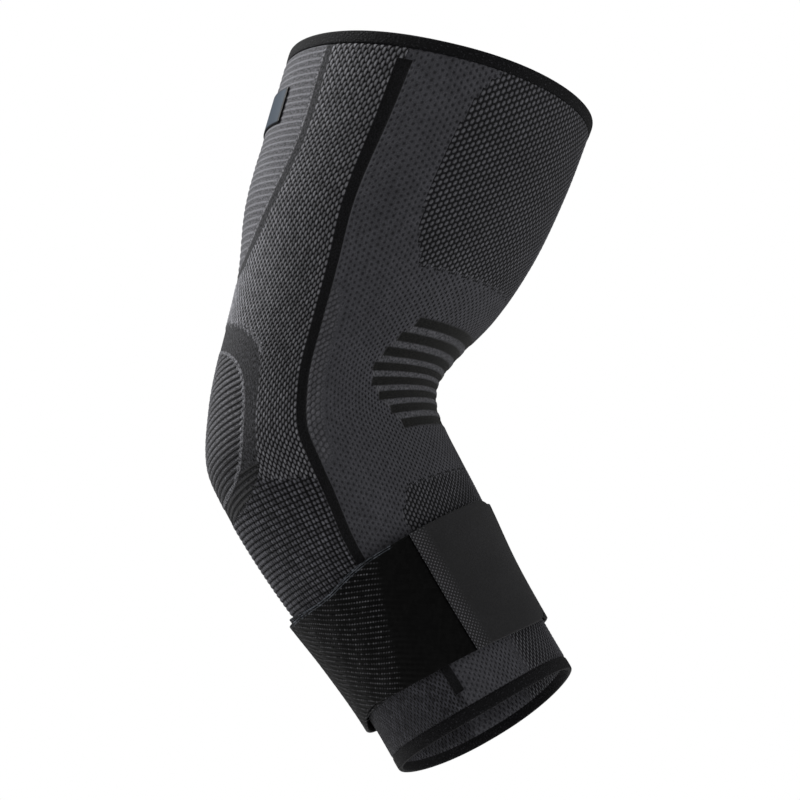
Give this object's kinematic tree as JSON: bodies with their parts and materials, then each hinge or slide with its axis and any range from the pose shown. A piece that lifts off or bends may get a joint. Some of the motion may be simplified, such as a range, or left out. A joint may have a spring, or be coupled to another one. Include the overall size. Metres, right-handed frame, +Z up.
{
  "type": "elbow brace",
  "caption": "Knitted elbow support sleeve, bent at the elbow, open at both ends, with a wrapped elastic forearm strap and a bare woven label.",
  "frame": {"origin": "middle of the arm at the elbow, inside the sleeve", "axes": "+Z up along the upper arm, which leans forward; +X towards the crook of the arm; -Y the side with the strap's end"},
  "size_m": [0.14, 0.1064, 0.2591],
  "materials": {
    "sleeve_knit": "dark grey ribbed knit",
    "hem_knit": "black knitted welt",
    "strap_elastic": "black woven elastic",
    "tab_felt": "charcoal brushed loop fabric",
    "label_satin": "blue-grey woven satin"
  },
  "bodies": {
    "root": {"knit_sleeve": "sleeve_knit", "top_hem": "hem_knit", "bottom_hem": "hem_knit", "strap": "strap_elastic", "strap_tab": "tab_felt", "label": "label_satin"}
  },
  "joints": []
}
